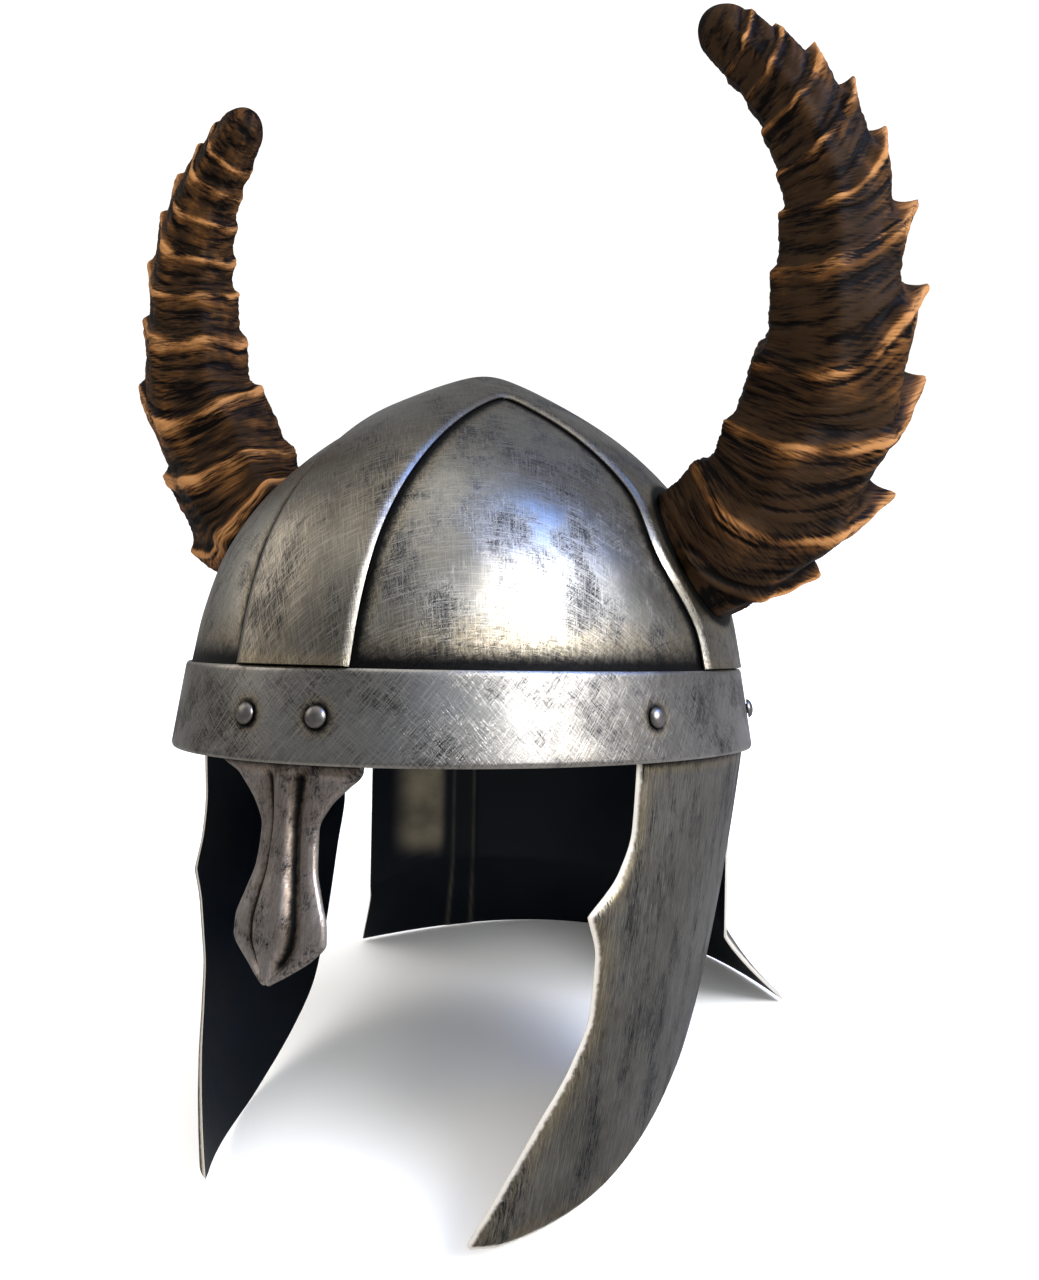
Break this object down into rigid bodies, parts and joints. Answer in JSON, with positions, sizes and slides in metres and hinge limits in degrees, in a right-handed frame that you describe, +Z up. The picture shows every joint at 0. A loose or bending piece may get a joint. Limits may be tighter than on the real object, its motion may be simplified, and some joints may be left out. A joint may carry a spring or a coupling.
{
  "type": "horned viking helmet",
  "caption": "Steel spangen helmet with brow band, crossing straps, nose guard, cheek guards, flared neck guard and ringed horns.",
  "frame": {"origin": "middle of the box of the whole helmet, on the table that it rests on", "axes": "+Z up, the face looks towards -Y and a little up, +X towards the wearer's left"},
  "size_m": [0.331, 0.25, 0.3748],
  "materials": {
    "band_steel": "brushed and antiqued",
    "panel_steel": "brushed and antiqued",
    "strap_steel": "brushed and antiqued",
    "guard_steel": "brushed and antiqued",
    "nasal_steel": "cast and antiqued",
    "rivet_steel": "polished and worn",
    "horn_resin": "painted dark brown with dry-brushed orange ridges"
  },
  "bodies": {
    "root": {"brow_band": "band_steel", "cheek_guard_left": "guard_steel", "cheek_guard_right": "guard_steel", "cross_frame": "strap_steel", "horn_left": "horn_resin", "horn_right": "horn_resin", "nasal_guard": "nasal_steel", "neck_guard": "guard_steel", "panel_front_left": "panel_steel", "panel_front_right": "panel_steel", "panel_rear_left": "panel_steel", "panel_rear_right": "panel_steel", "rivet_cheek_front_left": "rivet_steel", "rivet_cheek_front_right": "rivet_steel", "rivet_cheek_rear_left": "rivet_steel", "rivet_cheek_rear_right": "rivet_steel", "rivet_nasal_left": "rivet_steel", "rivet_nasal_right": "rivet_steel", "rivet_neck_left": "rivet_steel", "rivet_neck_middle": "rivet_steel", "rivet_neck_right": "rivet_steel"}
  },
  "joints": []
}
